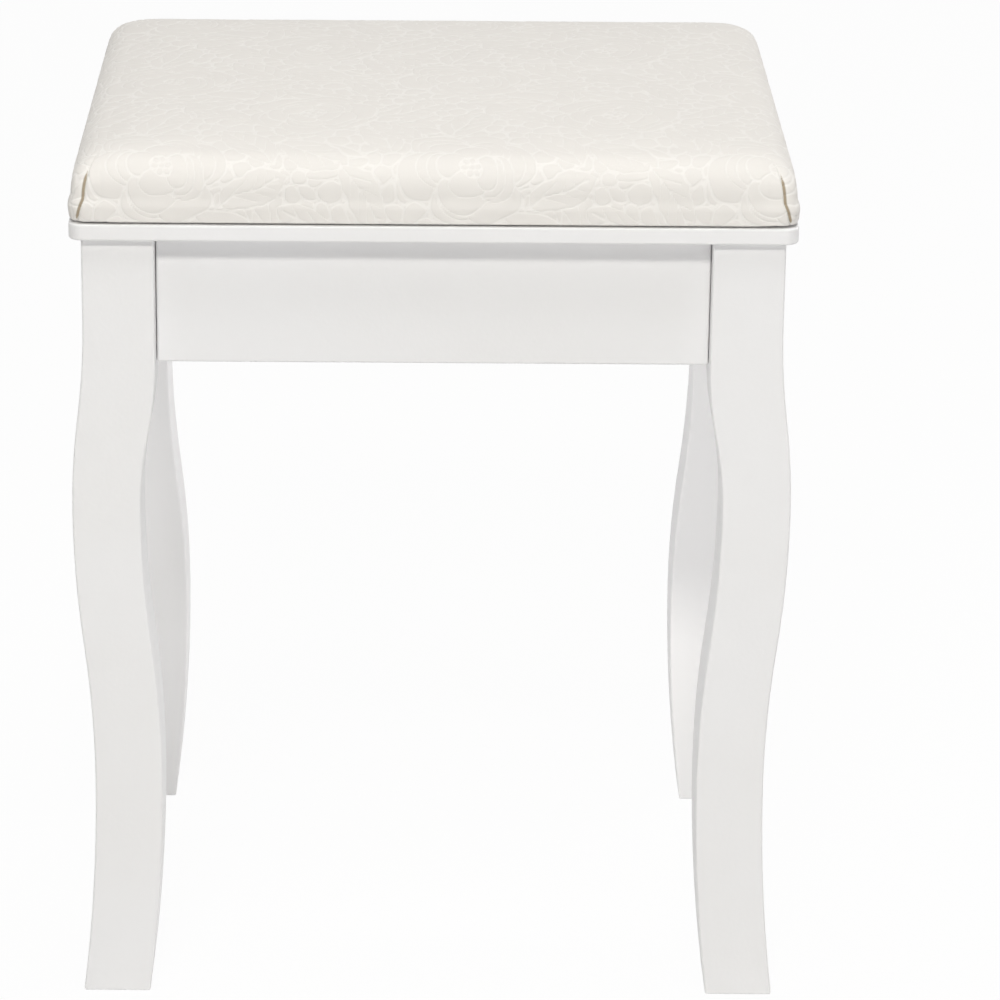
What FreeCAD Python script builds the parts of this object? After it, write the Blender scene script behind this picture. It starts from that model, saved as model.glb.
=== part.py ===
import FreeCAD, Part
import math
import os
import Sketcher
from FreeCAD import Placement, Rotation, Vector

# A vanity stool: a padded seat on a thin board, four aprons and four wavy legs.
#
# Millimetres. +Z is up, the front faces -Y, and the origin is on the floor
# under the middle of the seat.

os.makedirs("parts", exist_ok=True)
doc = FreeCAD.newDocument("VanityStool")

SIZES = [
    # The thin board under the pad
    ("board_width", 360.0),
    ("board_depth", 300.0),
    ("board_thickness", 8.5),
    ("board_corner", 7.0),
    ("board_edge_round", 1.2),
    # Legs: flat front and back, with a wave seen from the front
    ("leg_height", 409.5),
    ("leg_depth", 36.0),
    ("leg_top_width", 36.0),
    ("leg_width", 34.5),
    ("leg_end_setback", 5.0),
    ("leg_side_setback", 6.0),
    ("outer_curve_top", 366.0),
    ("inner_curve_top", 346.0),
    ("knee_height", 266.0),
    ("knee_bulge", 6.8),
    ("waist_height", 120.0),
    ("waist_pull", 2.4),
    ("foot_flare", 5.5),
    ("leg_edge_round", 1.2),
    ("leg_flat", 3.0),
    ("leg_flat_width", 16.0),
    # Aprons
    ("apron_height", 67.0),
    ("apron_thickness", 16.0),
    ("apron_recess", 10.0),
    ("apron_edge_round", 1.2),
    ("apron_end_gap", 0.3),
    # Dowels that join the aprons to the legs
    ("dowel_diameter", 8.0),
    ("dowel_chamfer", 0.8),
    ("dowel_in_leg", 12.0),
    ("dowel_in_apron", 18.0),
    ("dowel_edge", 12.0),
    ("dowel_spacing", 26.0),
    # Corner blocks inside the frame
    ("block_height", 30.0),
    ("block_thickness", 18.0),
    ("block_leg_gap", 1.5),
    ("block_screw_along", 34.0),
    ("block_screw_wood", 9.0),
    ("seat_screw_in", 9.5),
    ("seat_screw_aside", 11.0),
    # Fasteners
    ("screw_diameter", 4.0),
    ("screw_head_diameter", 7.6),
    ("screw_head_height", 2.2),
    ("screw_slot_width", 0.8),
    ("counterbore_diameter", 9.0),
    ("block_screw_length", 20.0),
    ("seat_screw_length", 35.0),
    ("pad_screw_length", 13.0),
    ("pad_screw_side", 110.0),
    ("pad_screw_end", 80.0),
    ("bolt_diameter", 6.0),
    ("bolt_chamfer", 0.5),
    ("bolt_in_leg", 22.0),
    ("bolt_past_nut", 4.0),
    ("washer_diameter", 14.0),
    ("washer_thickness", 1.2),
    ("nut_across_flats", 10.0),
    ("nut_height", 5.0),
    # Padded seat
    ("cover_thickness", 1.2),
    ("cover_return", 24.0),
    ("pad_base_thickness", 6.0),
    ("pad_tuck", 2.5),
    ("pad_widest_height", 13.0),
    ("pad_edge_height", 34.5),
    ("pad_roll", 16.0),
    ("pad_crown", 3.5),
    ("pad_corner", 14.0),
    ("pad_corner_growth", 0.5),
    # Staples that hold the cover under the pad base
    ("staple_width", 10.0),
    ("staple_leg", 5.0),
    ("staple_wire", 0.6),
    ("staple_band", 1.2),
    ("staple_spacing", 28.0),
    ("staple_inset", 12.0),
    # Clearances
    ("soft_gap", 0.3),
    ("glue_gap", 0.1),
    ("thread_gap", 0.05),
]

sheet = doc.addObject("Spreadsheet::Sheet", "Sizes")
for row, (alias, value) in enumerate(SIZES, start=1):
    sheet.set(f"A{row}", alias)
    sheet.set(f"B{row}", str(value))
    sheet.setAlias(f"B{row}", alias)
doc.recompute()


class Length:
    """A length with its value and the sheet expression that gives it."""

    def __init__(self, value, text):
        self.value = float(value)
        self.text = text

    def __add__(self, other):
        other = as_length(other)
        return Length(self.value + other.value, f"({self.text} + {other.text})")

    def __sub__(self, other):
        other = as_length(other)
        return Length(self.value - other.value, f"({self.text} - {other.text})")

    def __mul__(self, factor):
        return Length(self.value * factor, f"({self.text} * {factor})")

    def __truediv__(self, divisor):
        return Length(self.value / divisor, f"({self.text} / {divisor})")

    def __neg__(self):
        return self * -1


def as_length(number):
    """Let a plain number take part in a sum of lengths."""
    if isinstance(number, Length):
        return number
    return Length(number, f"({number})")


def size(alias):
    """A length that the sheet sets."""
    return Length(sheet.get(alias), f"<<Sizes>>.{alias}")


def number(alias):
    """The plain value of a length that the sheet sets."""
    return float(sheet.get(alias))


# Places that several pieces share

board_bottom = size("leg_height")
board_top = board_bottom + size("board_thickness")
leg_outside = size("board_width") / 2 - size("leg_side_setback")
leg_inside = leg_outside - size("leg_top_width")
leg_middle_y = size("board_depth") / 2 - size("leg_end_setback") - size("leg_depth") / 2
leg_inside_y = leg_middle_y - size("leg_depth") / 2
leg_outside_y = leg_middle_y + size("leg_depth") / 2
apron_middle = size("apron_recess") + size("apron_thickness") / 2
apron_middle_x = leg_outside - apron_middle
apron_middle_y = leg_outside_y - apron_middle
apron_inside_x = apron_middle_x - size("apron_thickness") / 2
apron_inside_y = apron_middle_y - size("apron_thickness") / 2
apron_bottom = board_bottom - size("apron_height")
dowel_heights = [apron_bottom + size("dowel_edge"),
                 apron_bottom + size("dowel_edge") + size("dowel_spacing")]
bolt_height = board_bottom - size("block_height") / 2

# Along the diagonal that runs in from the corner where two aprons would meet
diagonal = 1 / math.sqrt(2)
leg_corner_in = (apron_inside_x - leg_inside + apron_inside_y - leg_inside_y) * diagonal
block_start = leg_corner_in + size("block_leg_gap")
block_end = block_start + size("block_thickness")

# Each corner of the frame: its name, and its side along X and along Y
CORNERS = [("front_left", -1, -1), ("front_right", 1, -1),
           ("back_left", -1, 1), ("back_right", 1, 1)]


# Drawing and cutting

# Two places closer than this are the same place
SAME = 0.001


def origin_plane(body, role):
    """One of a body's own three planes."""
    return next(item for item in body.Origin.OriginFeatures if item.Role == role)


def new_body(label):
    body = doc.addObject("PartDesign::Body", label)
    body.Label = label
    return body


def new_sketch(body, label, role):
    sketch = body.newObject("Sketcher::SketchObject", label)
    sketch.AttachmentSupport = [(origin_plane(body, role), "")]
    sketch.MapMode = "FlatFace"
    return sketch


def pin(sketch, edge, end, across, up):
    """Hold one end of an edge at a place measured from the sketch's origin."""
    for kind, length in (("DistanceX", across), ("DistanceY", up)):
        length = as_length(length)
        place = sketch.addConstraint(Sketcher.Constraint(kind, -1, 1, edge, end, length.value))
        if "Sizes" in length.text:
            sketch.setExpression(f"Constraints[{place}]", length.text)


def flat_point(across, up):
    return Vector(as_length(across).value, as_length(up).value, 0)


def draw_polygon(sketch, corners):
    """A closed outline of straight lines through the given corners."""
    count = len(corners)
    for index, start in enumerate(corners):
        end = corners[(index + 1) % count]
        sketch.addGeometry(Part.LineSegment(flat_point(*start), flat_point(*end)), False)
    for index, start in enumerate(corners):
        sketch.addConstraint(Sketcher.Constraint("Coincident", index, 2, (index + 1) % count, 1))
        pin(sketch, index, 1, *start)


def draw_rectangle(sketch, half_width, half_depth):
    draw_polygon(sketch, [(-half_width, -half_depth), (half_width, -half_depth),
                          (half_width, half_depth), (-half_width, half_depth)])


def pad(body, sketch, thickness, symmetric=False):
    feature = body.newObject("PartDesign::Pad", sketch.Label + "Pad")
    feature.Profile = sketch
    feature.setExpression("Length", thickness.text)
    if symmetric:
        feature.Midplane = True
    sketch.Visibility = False
    doc.recompute()
    return feature


def round_edges(body, base, wanted, radius):
    """Round the edges of a feature that the test named wanted picks."""
    names = [f"Edge{index}" for index, edge in enumerate(base.Shape.Edges, start=1) if wanted(edge)]
    fillet = body.newObject("PartDesign::Fillet", base.Label + "Round")
    fillet.Base = (base, names)
    fillet.setExpression("Radius", radius.text)
    doc.recompute()
    return fillet


def face_rims(thickness):
    """A test for the edges round a piece's front and back faces, except under the board."""
    half = thickness.value / 2

    def wanted(edge):
        on_a_face = all(abs(abs(corner.Y) - half) < SAME for corner in edge.Vertexes)
        return on_a_face and edge.BoundBox.ZMin < board_bottom.value - SAME

    return wanted


def stands_up(edge):
    return edge.BoundBox.ZLength > SAME


def lies_level(edge):
    return edge.BoundBox.ZLength < SAME


def drill(body, label, diameter, depth, place, direction):
    """A round hole from a place, going along a direction, in a body's own frame."""
    hole = body.newObject("PartDesign::SubtractiveCylinder", label)
    hole.AttachmentSupport = [(origin_plane(body, "XY_Plane"), "")]
    hole.MapMode = "FlatFace"
    hole.AttachmentOffset = Placement(Vector(0, 0, 0), Rotation(Vector(0, 0, 1), Vector(*direction)))
    hole.setExpression("Radius", (diameter / 2).text)
    hole.setExpression("Height", depth.text)
    for axis, length in zip("xyz", place):
        hole.setExpression(f"AttachmentOffset.Base.{axis}", as_length(length).text)
    return hole


def put(body, place, turn=0.0):
    """Stand a finished body in the stool, turned about +Z."""
    body.Placement = Placement(Vector(0, 0, 0), Rotation(Vector(0, 0, 1), turn))
    for axis, length in zip("xyz", place):
        body.setExpression(f"Placement.Base.{axis}", as_length(length).text)


# Legs

def upright_arc(upright, tip):
    """The arc that stands upright at one point and ends at another."""
    rise = tip.y - upright.y
    shift = tip.x - upright.x
    radius = (rise ** 2 + shift ** 2) / (2 * shift)
    lean = math.asin(rise / abs(radius)) / 2
    halfway = Vector(upright.x + radius - radius * math.cos(lean),
                     upright.y + abs(radius) * math.sin(lean), 0)
    return Part.Arc(upright, halfway, tip)


def end_at(sketch, edge, place):
    """Which end of an edge lies at a place: 1 for its start, 2 for its end."""
    starts = sketch.getPoint(edge, 1).distanceToPoint(place)
    ends = sketch.getPoint(edge, 2).distanceToPoint(place)
    return 1 if starts < ends else 2


def draw_leg_outline(sketch, side):
    """The outline of a leg seen from the front, from its outer top corner.

    The wave stands upright at the top, the knee and the waist. Each stretch
    between two of these is a pair of equal arcs, and one more arc runs from
    the waist to the floor.
    """
    zero = as_length(0)
    thick = size("leg_width")
    knee = size("knee_height")
    waist = size("waist_height")
    stops = [
        (zero, board_bottom, "line"),
        (zero, size("outer_curve_top"), "wave"),
        (size("knee_bulge"), knee, "wave"),
        (-size("waist_pull"), waist, "foot"),
        (size("foot_flare"), zero, "line"),
        (size("foot_flare") - thick, zero, "foot"),
        (-size("waist_pull") - thick, waist, "wave"),
        (size("knee_bulge") - thick, knee, "wave"),
        (-size("leg_top_width"), size("inner_curve_top"), "line"),
        (-size("leg_top_width"), board_bottom, "line"),
    ]
    stops = [(across * side, up, way) for across, up, way in stops]
    points = [flat_point(across, up) for across, up, way in stops]
    chain = []
    for index, (across, up, way) in enumerate(stops):
        here = points[index]
        there = points[(index + 1) % len(points)]
        if way == "line":
            edges = [sketch.addGeometry(Part.LineSegment(here, there), False)]
        elif way == "foot":
            upright, tip = (here, there) if here.y > there.y else (there, here)
            edges = [sketch.addGeometry(upright_arc(upright, tip), False)]
            level_with(sketch, edges[0], upright)
        else:
            middle = (here + there) / 2
            edges = [sketch.addGeometry(upright_arc(end, middle), False) for end in (here, there)]
            for edge, upright in zip(edges, (here, there)):
                level_with(sketch, edge, upright)
            sketch.addConstraint(Sketcher.Constraint("Tangent", edges[0], end_at(sketch, edges[0], middle),
                                                     edges[1], end_at(sketch, edges[1], middle)))
            sketch.addConstraint(Sketcher.Constraint("Equal", edges[0], edges[1]))
        chain.append(edges)
    for index, (across, up, way) in enumerate(stops):
        here = points[index]
        coming = chain[index - 1][-1]
        going = chain[index][0]
        going_end = end_at(sketch, going, here)
        sketch.addConstraint(Sketcher.Constraint("Coincident", coming, end_at(sketch, coming, here),
                                                 going, going_end))
        pin(sketch, going, going_end, across, up)


def level_with(sketch, arc, upright):
    """Keep an arc's centre level with the end where the arc stands upright."""
    sketch.addConstraint(Sketcher.Constraint("Horizontal", arc, 3, arc, end_at(sketch, arc, upright)))


def make_leg(label, side, end):
    """One leg, on a side of the stool along X and at an end of it along Y."""
    body = new_body(label)
    outline = new_sketch(body, label + "_outline", "XZ_Plane")
    draw_leg_outline(outline, side)
    stock = pad(body, outline, size("leg_depth"), symmetric=True)
    round_edges(body, stock, face_rims(size("leg_depth")), size("leg_edge_round"))

    # The flat for the bolt, across the corner that points into the stool
    corner = (-size("leg_top_width") * side, size("leg_depth") / 2 * -end)
    reach = size("leg_flat_width")
    flat = body.newObject("PartDesign::SubtractiveBox", label + "_flat")
    flat.AttachmentSupport = [(origin_plane(body, "XY_Plane"), "")]
    flat.MapMode = "FlatFace"
    turn = math.degrees(math.atan2(end, side))
    flat.AttachmentOffset = Placement(Vector(0, 0, 0), Rotation(Vector(0, 0, 1), turn))
    flat.setExpression("Length", (reach + size("leg_flat")).text)
    flat.setExpression("Width", reach.text)
    flat.setExpression("Height", size("block_height").text)
    inward = reach * diagonal
    half = reach * (diagonal / 2)
    flat.setExpression("AttachmentOffset.Base.x", (corner[0] - inward * side + half * end).text)
    flat.setExpression("AttachmentOffset.Base.y", (corner[1] - inward * end - half * side).text)
    flat.setExpression("AttachmentOffset.Base.z", (board_bottom - size("block_height")).text)

    # Dowel holes for the two aprons, then the hole for the bolt
    wide = size("dowel_diameter") + size("glue_gap") * 2
    deep = size("dowel_in_leg") + size("glue_gap")
    for index, height in enumerate(dowel_heights):
        drill(body, f"{label}_side_dowel_{index}", wide, deep,
              (-apron_middle * side, size("leg_depth") / 2 * -end, height), (0, end, 0))
        drill(body, f"{label}_end_dowel_{index}", wide, deep,
              (-size("leg_top_width") * side, (leg_middle_y - apron_middle_y) * -end, height),
              (side, 0, 0))
    drill(body, label + "_bolt_hole", size("bolt_diameter") + size("thread_gap") * 2,
          size("bolt_in_leg") + size("leg_flat") + size("thread_gap"),
          (corner[0], corner[1], bolt_height), (side, end, 0))
    put(body, (leg_outside * side, leg_middle_y * end, 0))


for name, side, end in CORNERS:
    make_leg(f"{name}_leg", side, end)


# Aprons

def make_apron(label, half_length, place, turn, screw_along):
    """One apron, drawn with its inner face towards +Y, then turned into place."""
    body = new_body(label)
    outline = new_sketch(body, label + "_outline", "XZ_Plane")
    draw_polygon(outline, [(-half_length, apron_bottom), (half_length, apron_bottom),
                           (half_length, board_bottom), (-half_length, board_bottom)])
    stock = pad(body, outline, size("apron_thickness"), symmetric=True)
    round_edges(body, stock, face_rims(size("apron_thickness")), size("apron_edge_round"))
    wide = size("dowel_diameter") + size("glue_gap") * 2
    deep = size("dowel_in_apron") + size("glue_gap")
    for side in (-1, 1):
        for index, height in enumerate(dowel_heights):
            drill(body, f"{label}_dowel_{side + 1}_{index}", wide, deep,
                  (half_length * side, 0, height), (-side, 0, 0))
        drill(body, f"{label}_screw_{side + 1}", size("screw_diameter") + size("thread_gap") * 2,
              size("block_screw_length") - size("block_screw_wood") + size("thread_gap"),
              (screw_along * side, size("apron_thickness") / 2, bolt_height), (0, -1, 0))
    put(body, place, turn)


long_half = leg_inside - size("apron_end_gap")
short_half = leg_inside_y - size("apron_end_gap")
long_screw = apron_inside_x - size("block_screw_along")
short_screw = apron_inside_y - size("block_screw_along")
make_apron("front_apron", long_half, (0, -apron_middle_y, 0), 0, long_screw)
make_apron("back_apron", long_half, (0, apron_middle_y, 0), 180, long_screw)
make_apron("left_apron", short_half, (-apron_middle_x, 0, 0), -90, short_screw)
make_apron("right_apron", short_half, (apron_middle_x, 0, 0), 90, short_screw)


# Corner blocks

def make_block(label, side, end):
    """One corner block, drawn along +X away from the corner of the frame."""
    body = new_body(label)
    outline = new_sketch(body, label + "_outline", "XY_Plane")
    glue = size("glue_gap") / diagonal
    draw_polygon(outline, [(block_start, -(block_start - glue)), (block_end, -(block_end - glue)),
                           (block_end, block_end - glue), (block_start, block_start - glue)])
    pad(body, outline, size("block_height"))
    middle = size("block_height") / 2
    drill(body, label + "_bolt", size("bolt_diameter") + size("glue_gap") * 2,
          block_end, (0, 0, middle), (1, 0, 0))
    wide = size("screw_diameter") + size("glue_gap") * 2
    along = size("block_screw_along") * diagonal
    wood = size("block_screw_wood") * diagonal
    for index, tilt in enumerate((-1, 1)):
        drill(body, f"{label}_screw_{index}", wide, size("block_screw_wood") * 2,
              (along, along * tilt, middle), (1, -tilt, 0))
        drill(body, f"{label}_counterbore_{index}", size("counterbore_diameter"),
              size("block_thickness"),
              (along + wood, (along - wood) * tilt, middle), (1, -tilt, 0))
    drill(body, label + "_seat_screw", wide, size("block_height"),
          (block_start + size("seat_screw_in"), size("seat_screw_aside"), 0), (0, 0, 1))
    put(body, (apron_inside_x * side, apron_inside_y * end, board_bottom - size("block_height")),
        block_turn(side, end))


def block_turn(side, end):
    """The angle of the way in from a corner of the frame."""
    return math.degrees(math.atan2(-end, -side))


for name, side, end in CORNERS:
    make_block(f"{name}_corner_block", side, end)


# Seat board and the base of the pad

def seat_screw_place(side, end):
    """Where a seat screw stands, as lengths bound to the sheet."""
    along = (block_start + size("seat_screw_in")) * diagonal
    aside = size("seat_screw_aside") * diagonal
    # The way in is (-side, -end) and the way aside is that way turned left
    return (apron_inside_x * side - along * side + aside * end,
            apron_inside_y * end - along * end - aside * side)


PAD_SCREWS = [(side, end) for side in (-1, 1) for end in (-1, 1)]

seat_board = new_body("seat_board")
board_outline = new_sketch(seat_board, "seat_board_outline", "XY_Plane")
draw_rectangle(board_outline, size("board_width") / 2, size("board_depth") / 2)
board_stock = pad(seat_board, board_outline, size("board_thickness"))
board_rounded = round_edges(seat_board, board_stock, stands_up, size("board_corner"))
round_edges(seat_board, board_rounded, lies_level, size("board_edge_round"))
for index, (side, end) in enumerate(PAD_SCREWS):
    drill(seat_board, f"pad_screw_hole_{index}", size("screw_diameter") + size("glue_gap") * 2,
          size("board_thickness"), (size("pad_screw_side") * side, size("pad_screw_end") * end, 0),
          (0, 0, 1))
for name, side, end in CORNERS:
    drill(seat_board, name + "_seat_screw_hole", size("screw_diameter") + size("thread_gap") * 2,
          size("seat_screw_length") - size("block_height") + size("thread_gap"),
          (*seat_screw_place(side, end), 0), (0, 0, 1))
put(seat_board, (0, 0, board_bottom))

cover_bottom = board_top + size("soft_gap")
base_bottom = cover_bottom + size("cover_thickness") + size("soft_gap")
base_top = base_bottom + size("pad_base_thickness")
base_inset = size("pad_tuck") + size("cover_thickness") + size("soft_gap")

pad_base = new_body("pad_base")
base_outline = new_sketch(pad_base, "pad_base_outline", "XY_Plane")
draw_rectangle(base_outline, size("board_width") / 2 - base_inset, size("board_depth") / 2 - base_inset)
base_stock = pad(pad_base, base_outline, size("pad_base_thickness"))
round_edges(pad_base, base_stock, stands_up,
            size("pad_corner") - size("cover_thickness") - size("soft_gap"))
base_screw_depth = size("pad_screw_length") + board_bottom - base_bottom + size("thread_gap")
for index, (side, end) in enumerate(PAD_SCREWS):
    drill(pad_base, f"base_screw_hole_{index}", size("screw_diameter") + size("thread_gap") * 2,
          base_screw_depth, (size("pad_screw_side") * side, size("pad_screw_end") * end, 0), (0, 0, 1))
put(pad_base, (0, 0, base_bottom))


# The padded seat: a cover drawn over foam and folded in under the base

def edge_inset(height):
    """How far the pad's side is drawn in at a height above its underside."""
    widest = number("pad_widest_height")
    if height >= widest:
        return 0.0
    drop = (widest - height) / widest
    return number("pad_tuck") * (1 - math.sqrt(1 - drop ** 2))


# Where the profile has its rings: angles round the roll, then shares of the way over the crown
ROLL_DEGREES = (0, 15, 30, 45, 60, 75)
CROWN_SHARES = (0.05, 0.15, 0.3, 0.5, 0.75)


def pad_profile(offset, bottom):
    """Insets and heights up the pad's side and over its crown, an offset inside its skin."""
    widest = number("pad_widest_height")
    roll = number("pad_roll")
    roll_start = number("pad_edge_height") - roll
    half_depth = number("board_depth") / 2
    profile = [(offset + edge_inset(height), height)
               for height in (bottom, (bottom + widest) / 2, widest)]
    for degrees in ROLL_DEGREES:
        angle = math.radians(degrees)
        profile.append((roll - (roll - offset) * math.cos(angle),
                        roll_start + (roll - offset) * math.sin(angle)))
    for share in CROWN_SHARES:
        rise = number("pad_crown") * (1 - (1 - share) ** 2)
        profile.append((roll + (half_depth - roll) * share,
                        number("pad_edge_height") - offset + rise))
    return profile


def rounded_wire(half_width, half_depth, corner, height):
    """A rounded rectangle of four lines and four quarter arcs, at a height."""
    edges = []
    bend = corner * (1 - diagonal)
    for turn in range(4):
        wide, deep = (half_width, half_depth) if turn % 2 == 0 else (half_depth, half_width)
        start = Vector(wide, -deep + corner, 0)
        end = Vector(wide, deep - corner, 0)
        beyond = Vector(wide - corner, deep, 0)
        through = Vector(wide - bend, deep - bend, 0)
        for edge in (Part.LineSegment(start, end), Part.Arc(end, through, beyond)):
            shape = edge.toShape()
            shape.rotate(Vector(0, 0, 0), Vector(0, 0, 1), 90 * turn)
            edges.append(shape)
    wire = Part.Wire(edges)
    wire.translate(Vector(0, 0, height))
    return wire


def pad_solid(offset, bottom):
    """The pad's form, an offset inside its skin, from a height above its underside."""
    wires = []
    for inset, height in pad_profile(offset, bottom):
        growth = number("pad_corner_growth") * min(inset - offset, number("pad_roll"))
        corner = number("pad_corner") - offset + growth
        wires.append(rounded_wire(number("board_width") / 2 - inset, number("board_depth") / 2 - inset,
                                  corner, cover_bottom.value + height))
    return Part.makeLoft(wires, True, True)


def new_feature(label, shape):
    feature = doc.addObject("Part::Feature", label)
    feature.Label = label
    feature.Shape = shape
    return feature


def staple(grow):
    """A staple with its crown along X and its legs up, grown on every side for its slot."""
    half = number("staple_width") / 2
    wire = number("staple_wire")
    band = number("staple_band") / 2 + grow
    crown = Part.makeBox(2 * (half + grow), 2 * band, wire + 2 * grow, Vector(-half - grow, -band, -grow))
    for side in (-1, 1):
        middle = side * (half - wire / 2)
        leg = Part.makeBox(wire + 2 * grow, 2 * band, number("staple_leg") + 2 * grow,
                           Vector(middle - wire / 2 - grow, -band, -grow))
        crown = crown.fuse(leg)
    return crown.removeSplitter()


def staple_places():
    """Each staple's place and turn, in a row along each side of the pad."""
    inset = number("pad_tuck") + number("staple_inset")
    spacing = number("staple_spacing")
    rows = [(number("board_width") / 2 - inset, number("board_depth") / 2 - inset, 0),
            (number("board_depth") / 2 - inset, number("board_width") / 2 - inset, 90)]
    for half_row, reach, turn in rows:
        count = int((2 * half_row - spacing) // spacing)
        for index in range(count):
            along = (index - (count - 1) / 2) * spacing
            for side in (-1, 1):
                place = Vector(along, side * reach, cover_bottom.value)
                yield Rotation(Vector(0, 0, 1), turn).multVec(place), turn


def staple_group(grow):
    staples = []
    for place, turn in staple_places():
        shape = staple(grow)
        shape.Placement = Placement(place, Rotation(Vector(0, 0, 1), turn))
        staples.append(shape)
    return Part.makeCompound(staples)


cover_thickness = number("cover_thickness")
foam_offset = cover_thickness + number("soft_gap")
foam_bottom = base_top.value + number("soft_gap") - cover_bottom.value
slots = staple_group(number("thread_gap"))
opening = rounded_wire((size("board_width") / 2 - base_inset - size("cover_return")).value,
                       (size("board_depth") / 2 - base_inset - size("cover_return")).value,
                       number("pad_corner"), cover_bottom.value)
# Tall enough to cut right through the layer that lies under the pad
mouth_height = 2 * cover_thickness
mouth = Part.Face(opening).extrude(Vector(0, 0, mouth_height))
cover = pad_solid(0, 0).cut(pad_solid(cover_thickness, cover_thickness)).cut(mouth).cut(slots)
new_feature("seat_cover", cover)
new_feature("seat_foam", pad_solid(foam_offset, foam_bottom))
new_feature("cover_staples", staple_group(0))


# Fasteners

# A screw head as shares of its height and radius: an upright rim, then a dome through a shoulder
RIM_SHARE = 1 / 3
SHOULDER_RADIUS = 0.75
SHOULDER_HEIGHT = 0.8
SLOT_DEPTH = 0.5


def screw(length):
    """A screw that points up from the underside of its head, with a cross in the head."""
    radius = number("screw_diameter") / 2
    head = number("screw_head_diameter") / 2
    rise = number("screw_head_height")
    rim = Vector(head, 0, -rise * RIM_SHARE)
    shoulder = Vector(head * SHOULDER_RADIUS, 0, -rise * SHOULDER_HEIGHT)
    dome = Part.Arc(rim, shoulder, Vector(0, 0, -rise))
    corners = [Vector(0, 0, -rise), Vector(0, 0, length), Vector(radius, 0, length - 2 * radius),
               Vector(radius, 0, 0), Vector(head, 0, 0), rim]
    edges = [Part.LineSegment(start, end).toShape() for start, end in zip(corners, corners[1:])]
    profile = Part.Face(Part.Wire(edges + [dome.toShape()]))
    shape = profile.revolve(Vector(0, 0, 0), Vector(0, 0, 1), 360)
    arm = number("screw_diameter")
    slot = number("screw_slot_width")
    slot_bottom = -rise * (1 + SLOT_DEPTH)
    for width, depth in ((arm, slot), (slot, arm)):
        shape = shape.cut(Part.makeBox(width, depth, rise, Vector(-width / 2, -depth / 2, slot_bottom)))
    return shape


def aimed(shape, place, direction):
    """A copy of a shape drawn along +Z, moved to a place and aimed along a direction."""
    copy = shape.copy()
    copy.Placement = Placement(Vector(*place), Rotation(Vector(0, 0, 1), Vector(*direction)))
    return copy


def plain(*lengths):
    return tuple(as_length(length).value for length in lengths)


def corner_line(side, end, along, height):
    """A plain point on the way in from a corner of the frame, and the way back out."""
    reach = as_length(along).value * diagonal
    return (apron_inside_x.value * side - reach * side, apron_inside_y.value * end - reach * end,
            as_length(height).value), (side, end, 0)


def block_screws():
    length = number("block_screw_length")
    for name, side, end in CORNERS:
        along = size("block_screw_along")
        wood = size("block_screw_wood")
        yield aimed(screw(length), plain((apron_inside_x - along) * side, (apron_inside_y - wood) * end,
                                         bolt_height), (0, end, 0))
        yield aimed(screw(length), plain((apron_inside_x - wood) * side, (apron_inside_y - along) * end,
                                         bolt_height), (side, 0, 0))


def seat_screws():
    for name, side, end in CORNERS:
        place = plain(*seat_screw_place(side, end), board_bottom - size("block_height"))
        yield aimed(screw(number("seat_screw_length")), place, (0, 0, 1))


def pad_screws():
    for side, end in PAD_SCREWS:
        place = plain(size("pad_screw_side") * side, size("pad_screw_end") * end, board_bottom)
        yield aimed(screw(number("pad_screw_length")), place, (0, 0, 1))


def dowels():
    radius = number("dowel_diameter") / 2
    length = number("dowel_in_leg") + number("apron_end_gap") + number("dowel_in_apron")
    pin_shape = Part.makeCylinder(radius, length)
    pin_shape = pin_shape.makeChamfer(number("dowel_chamfer"), list(filter(lies_level, pin_shape.Edges)))
    for name, side, end in CORNERS:
        for height in dowel_heights:
            yield aimed(pin_shape, plain((leg_inside + size("dowel_in_leg")) * side,
                                         apron_middle_y * end, height), (-side, 0, 0))
            yield aimed(pin_shape, plain(apron_middle_x * side,
                                         (leg_inside_y + size("dowel_in_leg")) * end, height), (0, -end, 0))


def bolts():
    start = block_end + size("washer_thickness") + size("nut_height") + size("bolt_past_nut")
    length = start - leg_corner_in + size("leg_flat") + size("bolt_in_leg")
    rod = Part.makeCylinder(number("bolt_diameter") / 2, length.value)
    rod = rod.makeChamfer(number("bolt_chamfer"), list(filter(lies_level, rod.Edges)))
    for name, side, end in CORNERS:
        yield aimed(rod, *corner_line(side, end, start, bolt_height))


def washers():
    thick = number("washer_thickness")
    ring = Part.makeCylinder(number("washer_diameter") / 2, thick)
    ring = ring.cut(Part.makeCylinder(number("bolt_diameter") / 2 + number("glue_gap"), thick))
    for name, side, end in CORNERS:
        yield aimed(ring, *corner_line(side, end, block_end + size("washer_thickness"), bolt_height))


def nuts():
    tall = number("nut_height")
    point = number("nut_across_flats") / math.sqrt(3)
    around = [Vector(point * math.cos(math.radians(60 * turn)), point * math.sin(math.radians(60 * turn)), 0)
              for turn in range(7)]
    hexagon = Part.Face(Part.makePolygon(around)).extrude(Vector(0, 0, tall))
    hexagon = hexagon.cut(Part.makeCylinder(number("bolt_diameter") / 2 + number("thread_gap"), tall))
    for name, side, end in CORNERS:
        start = block_end + size("washer_thickness") + size("nut_height")
        yield aimed(hexagon, *corner_line(side, end, start, bolt_height))


# The base of the pad gets the same staple slots as the cover
doc.recompute()
slot_tool = new_feature("staple_slots", slots)
slotted = doc.addObject("Part::Cut", "slotted_pad_base")
slotted.Base = pad_base
slotted.Tool = slot_tool
pad_base.Label = "pad_base_body"
slotted.Label = "pad_base"

GROUPS = [("corner_block_screws", block_screws), ("seat_screws", seat_screws),
          ("pad_screws", pad_screws), ("apron_dowels", dowels),
          ("leg_bolts", bolts), ("leg_bolt_washers", washers), ("leg_bolt_nuts", nuts)]
for label, maker in GROUPS:
    new_feature(label, Part.makeCompound(list(maker())))

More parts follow.
